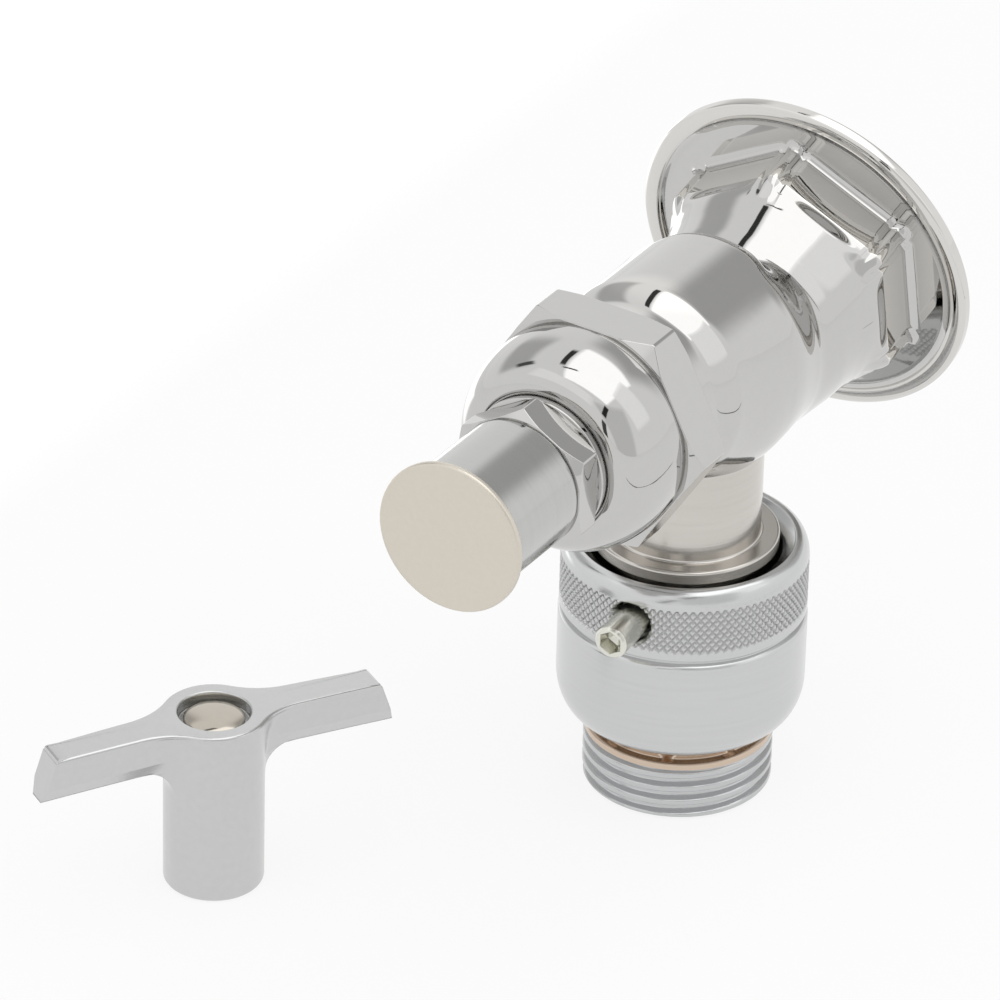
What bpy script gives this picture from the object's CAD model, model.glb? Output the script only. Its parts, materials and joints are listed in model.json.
"""Looks of a loose-key sill faucet: chromed casting, bonnet, lock shield, hose vacuum breaker and tee key."""

import json
import logging
import math
from dataclasses import dataclass
from enum import Enum
from typing import Sequence

import bpy
import numpy as np
from mathutils import Matrix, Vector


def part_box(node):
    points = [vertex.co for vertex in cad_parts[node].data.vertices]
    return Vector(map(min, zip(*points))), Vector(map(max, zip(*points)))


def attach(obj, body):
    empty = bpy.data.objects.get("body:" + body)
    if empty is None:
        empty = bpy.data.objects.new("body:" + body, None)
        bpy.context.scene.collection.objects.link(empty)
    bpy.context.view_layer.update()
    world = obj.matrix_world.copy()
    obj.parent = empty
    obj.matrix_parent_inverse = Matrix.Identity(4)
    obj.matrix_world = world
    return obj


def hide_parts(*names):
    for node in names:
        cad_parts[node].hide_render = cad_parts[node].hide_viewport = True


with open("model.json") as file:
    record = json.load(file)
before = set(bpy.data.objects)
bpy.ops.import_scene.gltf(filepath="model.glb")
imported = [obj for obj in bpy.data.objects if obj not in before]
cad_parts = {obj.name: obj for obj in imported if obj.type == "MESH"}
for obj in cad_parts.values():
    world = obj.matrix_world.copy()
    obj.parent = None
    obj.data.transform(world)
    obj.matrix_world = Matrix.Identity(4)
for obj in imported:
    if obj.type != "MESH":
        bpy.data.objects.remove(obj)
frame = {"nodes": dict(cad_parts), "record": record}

LOG = logging.getLogger("sill_faucet")
MM = 0.001
FIXED = "fixed_valve"
HEX_TURN = math.radians(30)
Points = np.ndarray


# Small geometry tools


def node_box(node: str) -> tuple[Points, Points]:
    """Lowest and highest corner of a CAD node at rest, in millimetres.

    Args:
        node: the CAD node's name.

    Returns:
        The two corners as arrays of three numbers.
    """
    low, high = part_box(node)
    return np.array(low) / MM, np.array(high) / MM


@dataclass(frozen=True)
class Placement:
    """A local frame: its origin in millimetres and its three axes as columns."""

    origin: tuple[float, float, float]
    axes: tuple[tuple[float, float, float], ...]

    def apply(self, points: Points) -> Points:
        """Carries local points into the row frame: origin + x X + y Y + z Z."""
        return np.asarray(points) @ np.array(self.axes) + np.array(self.origin)

    def local(self, points: Points) -> Points:
        """Carries points of the row frame into the local one."""
        return (points - np.array(self.origin)) @ np.array(self.axes).T


def upright(x: float = 0.0, y: float = 0.0, z: float = 0.0) -> Placement:
    """A frame whose axes are those of the row, at a place."""
    return Placement((x, y, z), ((1, 0, 0), (0, 1, 0), (0, 0, 1)))


def forward(height: float, back: float, tilt: float) -> Placement:
    """A frame whose +Z points forward, to -Y, and droops by a tilt.

    Args:
        height: height of the origin.
        back: the origin's place along Y.
        tilt: droop of the axis, in radians.

    Returns:
        The frame, with local X kept and local Y pointing up.
    """
    s, c = math.sin(tilt), math.cos(tilt)
    return Placement((0.0, back, height), ((1, 0, 0), (0, -s, c), (0, -c, -s)))


def radial(turn: float, height: float) -> Placement:
    """A frame whose +Z points out from the spout axis in a direction, at a height."""
    s, c = math.sin(turn), math.cos(turn)
    return Placement((0.0, 0.0, height), ((0, 0, -1), (-s, c, 0), (c, s, 0)))


def fillet_path(corners: Points, radii: Sequence[float], steps: int = 6, closed: bool = True,
                lead: float = 0.05) -> Points:
    """Rounds the corners of one outline or of a stack of outlines.

    Each corner with a radius becomes a circular arc that is tangent to both sides, with one more point
    on each side a little further out, so that flat faces stay flat when they are shaded smoothly.

    Args:
        corners: the outline's corners, shape (K, 2) or (T, K, 2).
        radii: one radius for each corner; 0 keeps the corner as one point.
        steps: segments in each arc.
        closed: whether the last corner joins the first.
        lead: distance of the extra points from the arc's ends.

    Returns:
        The rounded outlines, shape (T, M, 2).
    """
    c = np.asarray(corners, float)
    c = c[None] if c.ndim == 2 else c
    count = c.shape[1]
    parts = []
    share = np.linspace(0.0, 1.0, steps + 1)[None, :, None]
    for k in range(count):
        here = c[:, k]
        if radii[k] == 0 or (not closed and k in (0, count - 1)):
            parts.append(here[:, None])
            continue
        to_prev, to_next = c[:, k - 1] - here, c[:, (k + 1) % count] - here
        len_prev = np.linalg.norm(to_prev, axis=1, keepdims=True) + 1e-9
        len_next = np.linalg.norm(to_next, axis=1, keepdims=True) + 1e-9
        to_prev, to_next = to_prev / len_prev, to_next / len_next
        half = np.arccos(np.clip((to_prev * to_next).sum(1, keepdims=True), -1, 1)) / 2
        reach = np.minimum(len_prev, len_next) * 0.46
        cut = np.minimum(radii[k] / np.maximum(np.tan(half), 1e-6), reach)
        mid = to_prev + to_next
        norm = np.linalg.norm(mid, axis=1, keepdims=True)
        mid = np.where(norm > 1e-6, mid / np.maximum(norm, 1e-6), 0.0)
        centre = here + mid * cut * np.tan(half) / np.maximum(np.sin(half), 1e-6)
        start, end = here + to_prev * cut, here + to_next * cut
        sweep = (math.pi - 2 * half)[:, None]
        safe = np.where(sweep > 1e-3, sweep, 1.0)
        w_a = np.where(sweep > 1e-3, np.sin((1 - share) * safe) / np.sin(safe), 1 - share)
        w_b = np.where(sweep > 1e-3, np.sin(share * safe) / np.sin(safe), share)
        arc = centre[:, None] + (start - centre)[:, None] * w_a + (end - centre)[:, None] * w_b
        out_a = np.minimum(lead, (len_prev - cut) * 0.2)
        out_b = np.minimum(lead, (len_next - cut) * 0.2)
        parts += [(start + to_prev * out_a)[:, None], arc, (end + to_next * out_b)[:, None]]
    return np.concatenate(parts, axis=1)


def arc_points(cx: float, cy: float, rx: float, ry: float, a: float, b: float,
               n: int) -> list[tuple[float, float]]:
    """Points of an elliptic arc from angle a to angle b, in degrees: centre + (rx cos, ry sin)."""
    t = np.radians(np.linspace(a, b, n + 1))
    return list(zip(cx + rx * np.cos(t), cy + ry * np.sin(t)))


def round_angles(count: int) -> Points:
    """Evenly spaced angles round a circle, without the last one that repeats the first."""
    return np.linspace(0.0, 2 * math.pi, count, endpoint=False)


def polar(r: Points, angles: Points, z: Points) -> Points:
    """Points at a distance, an angle and a height of the local Z axis: (r cos a, r sin a, z)."""
    return np.stack([r * np.cos(angles), r * np.sin(angles), np.broadcast_to(z, r.shape)], axis=-1)


def turned(outline: Points, angles: Points) -> Points:
    """Carries an outline of (radius, height) round the local Z axis.

    Args:
        outline: shape (1, M, 2), or (T, M, 2) with one outline for each angle.
        angles: the T angles.

    Returns:
        A grid of points, shape (M, T, 3).
    """
    rz = np.broadcast_to(outline, (len(angles),) + outline.shape[1:])
    return polar(rz[..., 0].T, angles, rz[..., 1].T)


def spread(points: Sequence[tuple[float, float]], count: int) -> Points:
    """Repeats fixed outline corners for each of the angles: shape (count, K, 2)."""
    return np.broadcast_to(np.array(points, float), (count, len(points), 2))


def hex_angles(turn: float, flat_steps: int, corner_steps: int, across: float, corner_round: float) -> Points:
    """Angles round a hexagon, close together at its rounded corners.

    Args:
        turn: angle of the first corner.
        flat_steps: segments on each flat.
        corner_steps: segments on each rounded corner.
        across: size across the flats.
        corner_round: radius of the rounded corners.

    Returns:
        The angles of all six sides.
    """
    sixth = math.pi / 3
    centre = (across / 2 - corner_round) / math.cos(sixth / 2)
    half = math.atan2(corner_round * math.sin(sixth / 2), centre + corner_round * math.cos(sixth / 2))
    corner = np.linspace(-half, half, corner_steps + 1)
    flat = np.linspace(1.3 * half, sixth - 1.3 * half, flat_steps + 1)
    side = np.concatenate([corner, flat])
    return (turn + np.add.outer(np.arange(6) * sixth, side)).ravel()


def hex_radius(angles: Points, turn: float, across: float, corner_round: float) -> Points:
    """Distance from the axis to a hexagon with rounded corners.

    On a flat it is (across / 2) / cos(angle from the flat's middle). At a corner it is the far point
    of a circle of the corner's radius, whose centre lies on the corner's line.

    Args:
        angles: where it is wanted.
        turn: angle of the first corner.
        across: size across the flats.
        corner_round: radius of the rounded corners.

    Returns:
        One distance for each angle.
    """
    sixth = math.pi / 3
    off = (angles - turn + sixth / 2) % sixth - sixth / 2
    flat = across / 2 / np.cos(sixth / 2 - np.abs(off))
    centre = (across / 2 - corner_round) / math.cos(sixth / 2)
    inside = np.maximum(corner_round ** 2 - (centre * np.sin(off)) ** 2, 0)
    return np.minimum(flat, np.where(inside > 0, centre * np.cos(off) + np.sqrt(inside), flat))


def build_mesh(name: str, grid: Points, closed: bool, place: Placement) -> bpy.types.Object:
    """Makes a closed object from a grid of points whose columns go once round.

    Neighbouring rows and columns are joined by four-sided faces. A closed grid also joins its last row
    to its first. An open grid ends in poles, and each becomes one point with a fan of triangles.

    Args:
        name: the new object's name.
        grid: shape (M, T, 3), in local millimetres.
        closed: whether the last row joins the first.
        place: the local frame.

    Returns:
        The object, linked to the scene, with its place in its mesh.
    """
    rows, cols = grid.shape[:2]
    points = place.apply(grid.reshape(-1, 3)) * MM
    i = np.arange(rows if closed else rows - 1)[:, None]
    j = np.arange(cols)[None, :]
    up, right = (i + 1) % rows, (j + 1) % cols
    quads = np.stack([i * cols + j, i * cols + right, up * cols + right, up * cols + j], axis=-1)
    quads = quads.reshape(-1, 4)
    tri = []
    if not closed:
        first, last = points[:cols].mean(0), points[-cols:].mean(0)
        base = len(points)
        points = np.vstack([points, first, last])
        ring = np.arange(cols)
        nxt = (ring + 1) % cols
        tri.append(np.stack([np.full(cols, base), nxt, ring], axis=-1))
        top = (rows - 1) * cols
        tri.append(np.stack([np.full(cols, base + 1), top + ring, top + nxt], axis=-1))
    faces = quads.tolist() + (np.vstack(tri).tolist() if tri else [])
    p = points[quads]
    volume = np.einsum("ij,ij->", p[:, 0], np.cross(p[:, 1], p[:, 2]) + np.cross(p[:, 2], p[:, 3]))
    if volume < 0:
        faces = [f[::-1] for f in faces]
    mesh = bpy.data.meshes.new(name)
    mesh.from_pydata(points.tolist(), [], faces)
    mesh.shade_smooth()
    mesh.validate()
    return add_object(name, mesh)


def add_object(name: str, data: bpy.types.ID) -> bpy.types.Object:
    """Makes an object of a mesh or a camera and links it to the scene."""
    obj = bpy.data.objects.new(name, data)
    bpy.context.scene.collection.objects.link(obj)
    return obj


def mark_places(obj: bpy.types.Object, grid: Points, share: Points) -> None:
    """Stores how far each point of a grid's mesh is a marked place, from 0 to 1.

    Args:
        obj: the mesh made from the grid.
        grid: the grid, shape (M, T, 3).
        share: a number for each point, shape (M, T), or (M, 1) for whole rows.
    """
    values = np.zeros(len(obj.data.vertices))
    values[:grid.shape[0] * grid.shape[1]] = np.broadcast_to(share, grid.shape[:2]).ravel()
    obj.data.attributes.new("marked", "FLOAT", "POINT").data.foreach_set("value", values)


def smooth_step(x: Points, low: float, high: float) -> Points:
    """Rises from 0 at low to 1 at high as 3 t^2 - 2 t^3."""
    t = np.clip((x - low) / (high - low), 0, 1)
    return t * t * (3 - 2 * t)


# Finishes


class Tree:
    """The node tree of a material or a world, with short calls that add and join its nodes."""

    def __init__(self, owner: bpy.types.Material | bpy.types.World) -> None:
        """Switches the owner's nodes on."""
        owner.use_nodes = True
        self.nodes, self.links = owner.node_tree.nodes, owner.node_tree.links

    def put(self, node: bpy.types.Node, inputs: dict) -> bpy.types.Node:
        """Sets inputs of a node: a socket is linked, and anything else becomes the input's constant.

        Args:
            node: the node.
            inputs: values by the name or the place of the input.

        Returns:
            The same node.
        """
        for key, value in inputs.items():
            if isinstance(value, bpy.types.NodeSocket):
                self.links.new(value, node.inputs[key])
            else:
                node.inputs[key].default_value = value
        return node

    def add(self, kind: str, inputs: dict | None = None, **settings: object) -> bpy.types.Node:
        """Adds a node, sets its own settings and then its inputs.

        Args:
            kind: the node's type, without its first part.
            inputs: values for put.
            settings: attributes of the node.

        Returns:
            The new node.
        """
        node = self.nodes.new("ShaderNode" + kind)
        for name, value in settings.items():
            setattr(node, name, value)
        return self.put(node, inputs or {})

    def mix_colour(self, share: bpy.types.NodeSocket, low: object, high: object) -> bpy.types.NodeSocket:
        """Mixes two colours, each of them four numbers or a socket, by a share."""
        return self.add("Mix", {"Factor": share, "A": low, "B": high}, data_type="RGBA").outputs["Result"]

    def mix_shader(self, share: bpy.types.NodeSocket, low: bpy.types.Node, high: bpy.types.Node,
                   output: str) -> None:
        """Mixes two shaders by a share and joins them to the named output node."""
        mix = self.add("MixShader", {"Fac": share, 1: low.outputs[0], 2: high.outputs[0]})
        self.put(self.nodes[output], {"Surface": mix.outputs[0]})


class Grain(Enum):
    """How the fine marks of a metal finish run, as the stretch of their pattern."""

    CAST = (1, 1, 1)
    TURNED_Z = (0.04, 0.04, 1)
    TURNED_Y = (0.04, 1, 0.04)


GRAIN_DEPTH = 0.0002
CLOUD_SIZE = 70.0
CLOUD_DEPTH = 0.001


@dataclass(frozen=True)
class MetalFinish:
    """A plated or bare metal: its colour, gloss and fine marks, and a colour for its marked places."""

    name: str
    colour: tuple[float, float, float]
    roughness: float
    rough_change: float = 0.03
    shade_change: float = 0.03
    grain: Grain = Grain.CAST
    grain_size: float = 900.0
    bump: float = 0.02
    wave: float = 0.0
    marked: tuple[float, float, float] | None = None

    def build(self) -> bpy.types.Material:
        """Makes the node material: fine noise for the grain, and wide noise for gloss and waviness."""
        mat = bpy.data.materials.new(self.name)
        tree = Tree(mat)
        coords = tree.add("TexCoord").outputs["Object"]
        grain = tree.add("Mapping", {"Vector": coords, "Scale": self.grain.value}).outputs["Vector"]
        fine = tree.add("TexNoise", {"Vector": grain, "Scale": self.grain_size, "Detail": 4.0}).outputs["Fac"]
        cloud = tree.add("TexNoise", {"Vector": coords, "Scale": CLOUD_SIZE, "Detail": 3.0}).outputs["Fac"]
        rough = tree.add("MapRange", {"Value": cloud, "To Min": max(self.roughness - self.rough_change, 0.0),
                                      "To Max": self.roughness + self.rough_change})
        low = [max(c - self.shade_change, 0.0) for c in self.colour]
        high = [min(c + self.shade_change, 1.0) for c in self.colour]
        colour = tree.mix_colour(fine, (*low, 1), (*high, 1))
        if self.marked is not None:
            place = tree.add("Attribute", attribute_name="marked")
            colour = tree.mix_colour(place.outputs["Fac"], colour, (*self.marked, 1))
        bump = tree.add("Bump", {"Strength": self.bump, "Distance": GRAIN_DEPTH, "Height": fine})
        if self.wave > 0:
            swell = tree.add("Bump", {"Strength": self.wave, "Distance": CLOUD_DEPTH, "Height": cloud})
            tree.put(bump, {"Normal": swell.outputs["Normal"]})
        tree.put(tree.nodes["Principled BSDF"], {"Metallic": 1.0, "Base Color": colour,
                                                 "Roughness": rough.outputs["Result"],
                                                 "Normal": bump.outputs["Normal"]})
        return mat


@dataclass(frozen=True)
class SoftFinish:
    """Rubber, packing or plastic: a colour, a gloss and a fine grain."""

    name: str
    colour: tuple[float, float, float]
    roughness: float
    grain_size: float = 1500.0
    bump: float = 0.15

    def build(self) -> bpy.types.Material:
        """Makes the node material, whose shade and bumps follow one fine noise."""
        mat = bpy.data.materials.new(self.name)
        tree = Tree(mat)
        coords = tree.add("TexCoord").outputs["Object"]
        fine = tree.add("TexNoise", {"Vector": coords, "Scale": self.grain_size}).outputs["Fac"]
        low, high = [c * 0.85 for c in self.colour], [min(c * 1.1, 1.0) for c in self.colour]
        bump = tree.add("Bump", {"Strength": self.bump, "Distance": GRAIN_DEPTH, "Height": fine})
        colour = tree.mix_colour(fine, (*low, 1), (*high, 1))
        tree.put(tree.nodes["Principled BSDF"], {"Base Color": colour, "Roughness": self.roughness,
                                                 "Normal": bump.outputs["Normal"]})
        return mat


class Finishes:
    """All finishes of the faucet, each made once."""

    def __init__(self) -> None:
        """Makes the materials, one for each slot of the record."""
        table = {
            "polished_chrome": MetalFinish("PolishedChrome", (0.555, 0.55, 0.54), 0.035, 0.012, 0.01,
                                           Grain.CAST, 700.0, 0.012, 0.03, (0.82, 0.80, 0.765)),
            "satin_chrome": MetalFinish("SatinChrome", (0.60, 0.605, 0.605), 0.20, 0.03, 0.02,
                                        Grain.TURNED_Z, 1600.0, 0.08, 0.0, (0.26, 0.26, 0.26)),
            "shield_chrome": MetalFinish("ShieldChrome", (0.52, 0.52, 0.51), 0.12, 0.02, 0.02,
                                         Grain.TURNED_Y, 1600.0, 0.05),
            "key_chrome": MetalFinish("KeyChrome", (0.58, 0.585, 0.58), 0.24, 0.04, 0.02,
                                      Grain.CAST, 1100.0, 0.06, 0.02),
            "warm_nickel": MetalFinish("WarmNickel", (0.80, 0.765, 0.70), 0.33, 0.03, 0.025,
                                       Grain.TURNED_Y, 1500.0, 0.05),
            "cap_nickel": MetalFinish("CapNickel", (0.68, 0.635, 0.56), 0.38, 0.03, 0.02,
                                      Grain.CAST, 1800.0, 0.05),
            "button_nickel": MetalFinish("ButtonNickel", (0.52, 0.48, 0.42), 0.10, 0.03, 0.02),
            "spout_nickel": MetalFinish("SpoutNickel", (0.60, 0.575, 0.54), 0.18, 0.03, 0.03,
                                        Grain.TURNED_Z, 1500.0, 0.05),
            "outlet_chrome": MetalFinish("OutletChrome", (0.56, 0.565, 0.57), 0.22, 0.04, 0.02,
                                         Grain.TURNED_Z, 1500.0, 0.05, 0.0, (0.63, 0.51, 0.41)),
            "zinc": MetalFinish("YellowZinc", (0.74, 0.735, 0.67), 0.22, 0.05, 0.04, Grain.CAST, 1500.0, 0.1),
            "brass": MetalFinish("MachinedBrass", (0.80, 0.58, 0.30), 0.25, 0.05, 0.04,
                                 Grain.TURNED_Y, 1500.0, 0.08),
            "spring_steel": MetalFinish("SpringSteel", (0.60, 0.60, 0.62), 0.25),
            "tool_steel": MetalFinish("ToolSteel", (0.22, 0.22, 0.23), 0.35, 0.05, 0.03),
            "rubber": SoftFinish("BlackRubber", (0.03, 0.03, 0.03), 0.6),
            "packing": SoftFinish("GraphitePacking", (0.06, 0.06, 0.06), 0.5),
            "white_plastic": SoftFinish("WhiteAcetal", (0.80, 0.80, 0.77), 0.4),
        }
        self.by_name = {key: finish.build() for key, finish in table.items()}

    def dress(self, obj: bpy.types.Object, name: str) -> None:
        """Gives an object one finish."""
        obj.data.materials.clear()
        obj.data.materials.append(self.by_name[name])

    def piece(self, name: str, grid: Points, place: Placement, finish: str, slot: str, node: str,
              body: str = FIXED, closed: bool = True) -> bpy.types.Object:
        """Builds a piece, dresses it and lets it ride on its body in the place of its CAD node.

        Args:
            name: the piece's name.
            grid: its points, for build_mesh.
            place: its local frame.
            finish: its finish.
            slot: its material slot in the record.
            node: the CAD node that it stands for.
            body: the body that carries it.
            closed: whether the grid's last row joins its first.

        Returns:
            The piece's object.
        """
        obj = build_mesh(name, grid, closed, place)
        self.dress(obj, finish)
        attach(obj, body)
        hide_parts(node)
        tris = sum(len(p.vertices) - 2 for p in obj.data.polygons)
        LOG.info("%s rides on %s, %d triangles", name, body, tris)
        return obj


# The fixed valve


@dataclass
class Layout:
    """The faucet's axes and planes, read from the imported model, in millimetres."""

    tilt: float = math.radians(12.75)

    def __post_init__(self) -> None:
        """Reads the bonnet, the shell and the mounts."""
        low, high = node_box("lock_shield")
        self.axis_h = float((low[2] + high[2]) / 2)
        mounts = {m["name"]: m for m in frame["record"]["mounts"]}
        self.wall_y = mounts["wall_face"]["pos_m"][1] / MM
        self.valve = forward(self.axis_h, 0.0, 0.0)
        self.inlet = forward(self.axis_h, self.wall_y, self.tilt)

    def along(self, node: str) -> tuple[float, float]:
        """Where a node of the valve begins and ends, counted forward from the spout axis."""
        low, high = node_box(node)
        return float(-high[1]), float(-low[1])


@dataclass
class Casting:
    """The one-piece body: wall flange, hexagonal boss, tilted inlet, valve barrel and spout."""

    layout: Layout
    finishes: Finishes
    flange_r: float = 25.8
    rim_w: float = 2.6
    rim_top: float = 2.0
    rim_half_h: float = 0.65
    valley_t: float = 1.2
    boss_end: float = 8.0
    boss_across: float = 33.4
    boss_round: float = 1.5
    draft: float = 0.134
    flare: float = 2.5
    flare_len: float = 9.0
    crown: float = 1.1
    crown_end: float = 12.0
    taper_end: float = 19.5
    barrel_root_r: float = 16.8
    barrel_from: float = 7.2
    barrel_end_r: float = 13.4
    valve_r: float = 14.1
    valve_end_r: float = 12.6
    shoulder_w: tuple[float, float] = (11.8, 16.6)
    valve_back: float = 8.2
    valve_round: float = 4.5
    side_round: float = 7.0
    side_from: tuple[float, float] = (0.36, 0.80)
    front_w: float = 22.5
    neck_r: float = 12.4
    neck_end_w: float = 29.0
    blend: float = 2.2
    side_blend: float = 8.0
    blend_ends_y: tuple[float, float] = (9.0, 13.6)
    row_lean: float = math.radians(-16)
    bore_r: float = 9.13
    bore_len: float = 13.0
    pipe_pitch: float = 1.814
    pipe_depth: float = 0.75
    pocket_r: float = 9.0
    chamber_r: float = 9.6
    chamber_back: float = 5.0
    seat_bore_r: float = 7.66
    spout_r: float = 10.5
    spout_bore_r: float = 6.5
    hose_r: float = 13.3
    hose_depth: float = 0.95
    hose_len: float = 13.5

    def __post_init__(self) -> None:
        """Works out the barrel's length, the hose thread's place and the top of the spout tube."""
        self.barrel_len = self.layout.wall_y / math.cos(self.layout.tilt)
        self.spout_end = float(node_box("faucet_body")[0][2])
        self.collar_top = self.spout_end + self.hose_len
        self.tube_top = self.layout.axis_h - self.chamber_r - 0.3

    def barrel_radius(self, s: Points) -> Points:
        """Radius of the inlet barrel at a distance s from the wall: an S-curve from root to end."""
        t = np.clip((s - self.barrel_from) / (self.barrel_len - self.barrel_from), 0, 1)
        return self.barrel_root_r + (self.barrel_end_r - self.barrel_root_r) * t * t * (3 - 2 * t)

    def flare_radius(self, s: Points) -> Points:
        """Radius of the turned flare round the hexagon's front: the barrel plus a square-law rise."""
        t = np.clip(1 - (s - self.boss_end) / self.flare_len, 0, 1)
        return self.barrel_radius(s) + self.flare * t * t

    def inlet_distance(self, p: Points) -> Points:
        """Distance outside the inlet barrel and its round end, negative inside."""
        local = self.layout.inlet.local(p)
        r = np.hypot(local[..., 0], local[..., 1])
        side = (r - self.barrel_radius(local[..., 2])) * 0.99
        past = np.maximum(local[..., 2] - self.barrel_len, 0)
        return np.where(past > 0, np.hypot(r, past) - self.barrel_end_r, side)

    def side_share(self, p: Points) -> Points:
        """How far round the valve axis points lie: 0 on top, 1 at the sides, by |x| / radius."""
        r = np.hypot(p[..., 0], p[..., 2] - self.layout.axis_h)
        return smooth_step(np.abs(p[..., 0]) / np.maximum(r, 1.0), *self.side_from)

    def valve_distance(self, p: Points) -> Points:
        """Distance outside the valve barrel, a cylinder with a rounded back end, negative inside.

        In front it falls by an S-curve to the neck behind the bonnet. The back's rounding grows from
        the top of the barrel to its sides, so the shoulder is plain on top and fades out at the sides.
        """
        r = np.hypot(p[..., 0], p[..., 2] - self.layout.axis_h)
        rounding = self.valve_round + (self.side_round - self.valve_round) * self.side_share(p)
        drop = (self.valve_r - self.valve_end_r) * smooth_step(-p[..., 1], *self.shoulder_w)
        out = (r + drop - (self.valve_r - rounding)) * 0.95
        back = p[..., 1] - (self.valve_back - rounding)
        corner = np.hypot(np.maximum(out, 0), np.maximum(back, 0)) + np.minimum(np.maximum(out, back), 0)
        return corner - rounding

    def body_distance(self, p: Points) -> Points:
        """The two barrels joined by a smooth minimum: min(a, b) - h^2 blend / 4, h = 1 - |a - b| / blend.

        The blend is wider at the sides than on top, and it ends before the hexagon's flare begins.
        """
        a, b = self.inlet_distance(p), self.valve_distance(p)
        blend = self.blend + (self.side_blend - self.blend) * self.side_share(p)
        h = np.maximum(blend - np.abs(a - b), 0) / blend
        fade = 1 - smooth_step(p[..., 1], *self.blend_ends_y)
        return np.minimum(a, b) - fade * h * h * blend / 4

    def march(self, centre: Points, direction: Points, reach: float = 40.0, halvings: int = 32) -> Points:
        """Finds how far the surface lies from the centres along each direction, by halving.

        Args:
            centre: where each row starts.
            direction: unit directions.
            reach: a distance that is surely outside.
            halvings: how often the way is halved.

        Returns:
            The distances.
        """
        low = np.zeros(direction.shape[:-1])
        high = np.full_like(low, reach)
        for _ in range(halvings):
            mid = (low + high) / 2
            inside = self.body_distance(centre + direction * mid[..., None]) < 0
            low, high = np.where(inside, mid, low), np.where(inside, high, mid)
        return (low + high) / 2

    def outer_rows(self, angles: Points) -> Points:
        """Rows of the barrels, from the end of the flare to the shoulder behind the bonnet.

        Each row is the cut of the joined barrels by a plane. The planes start square to the inlet, lean
        a little where the barrels meet, and end square to the valve. Their centres slide from one axis
        to the other, and the rows lie closest round the crease.
        """
        tilt = self.layout.tilt
        y_start = self.layout.wall_y - self.taper_end * math.cos(tilt)
        z_start = self.layout.axis_h - (self.layout.wall_y - y_start) * math.tan(tilt)
        y_end = 0.4 - self.front_w
        bands = [(y_start, 9.4, 22), (9.3, 4.0, 74), (3.9, -4.0, 56), (-4.3, y_end, 46)]
        y = np.concatenate([np.linspace(*band) for band in bands])
        z = np.interp(-y, [-y_start, 0.0, 12.0], [z_start, 66.0, self.layout.axis_h])
        lean = np.interp(-y, [-y_start, -1.0, 1.0, -y_end], [tilt, self.row_lean, self.row_lean, 0.0])
        zero = np.zeros_like(y)
        centre = np.stack([zero, y, z], axis=-1)[:, None, :]
        up = np.stack([zero, -np.sin(lean), np.cos(lean)], axis=-1)[:, None, :]
        across = np.array([1.0, 0, 0])
        direction = np.cos(angles)[None, :, None] * across + np.sin(angles)[None, :, None] * up
        return centre + direction * self.march(centre, direction)[..., None]

    def boss_rows(self, angles: Points) -> Points:
        """Rows of the wall face, the rolled rim, the valley, the hexagon and its flare."""
        hexagon = hex_radius(angles, HEX_TURN, self.boss_across, self.boss_round)
        rim = arc_points(self.flange_r - self.rim_w / 2, self.rim_top - self.rim_half_h,
                         self.rim_w / 2, self.rim_half_h, 0, 165, 18)
        flange = [(self.bore_r + 0.9, 0.0), (self.bore_r + 1.0, 0.0), (self.flange_r, 0.0), *rim,
                  (self.flange_r - self.rim_w - 1.0, self.valley_t)]
        sides = [np.stack([hexagon, np.full_like(hexagon, s)], axis=-1)
                 for s in (self.valley_t, self.boss_end - 0.05)]
        corners = np.concatenate([spread(flange, len(angles)), np.stack(sides, axis=1)], axis=1)
        radii = [0, 0, 0.35] + [0] * len(rim) + [1.8, 1.5, 0]
        head = turned(fillet_path(corners, radii, 8, closed=False), angles)
        return self.layout.inlet.apply(np.concatenate([head, self.flare_rows(angles, hexagon)]))

    def flare_rows(self, angles: Points, hexagon: Points) -> Points:
        """Rows in front of the hexagon, in the inlet's frame.

        Their radius is the smaller of a six-sided pyramid, whose sides lean in by the draft and grow
        round, and the turned flare, so each side ends in a curved edge. A smooth minimum softens that
        edge, more and more away from the hexagon, and fades out before the barrels' rows begin.

        Args:
            angles: the columns' angles.
            hexagon: distance of the hexagon at each of them.

        Returns:
            The rows, shape (M, T, 3).
        """
        start, end = self.boss_end, self.taper_end
        s = np.concatenate([[start, start + 0.05], np.linspace(start + 0.2, end, 50)])[:, None]
        crown = smooth_step(s, start, self.crown_end)
        side = hexagon[None] * (1 - crown) + (self.boss_across / 2 + self.crown) * crown
        flat = side * (1 - self.draft * (s - start) / (self.boss_across / 2))
        flare = self.flare_radius(s)
        sharp = np.minimum(flat, flare)
        soft = 0.4 + 1.9 * smooth_step(s, start, start + 4.0)
        h = np.maximum(soft - np.abs(flat - flare), 0) / soft
        fade = 1 - smooth_step(s, end - 6.0, end - 1.0)
        r = np.where(s < start + 0.1, sharp, sharp - fade * h * h * soft / 4)
        return polar(r, angles, s)

    def warm_share(self, rows: Points) -> Points:
        """Where the plate is warm and pale: on the rolled rim and on the hexagon's upright sides."""
        local = self.layout.inlet.local(rows)
        r, s = np.hypot(local[..., 0], local[..., 1]), local[..., 2]
        rim_in = self.flange_r - self.rim_w
        rim = smooth_step(r, rim_in - 0.2, rim_in + 0.6) * 0.45
        side = smooth_step(r, 16.0, 16.5) * (1 - smooth_step(r, 19.6, 20.2))
        side *= smooth_step(s, 2.2, 3.4) * (1 - smooth_step(s, self.boss_end - 0.1, self.boss_end + 0.25))
        return np.maximum(rim, side)

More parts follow.
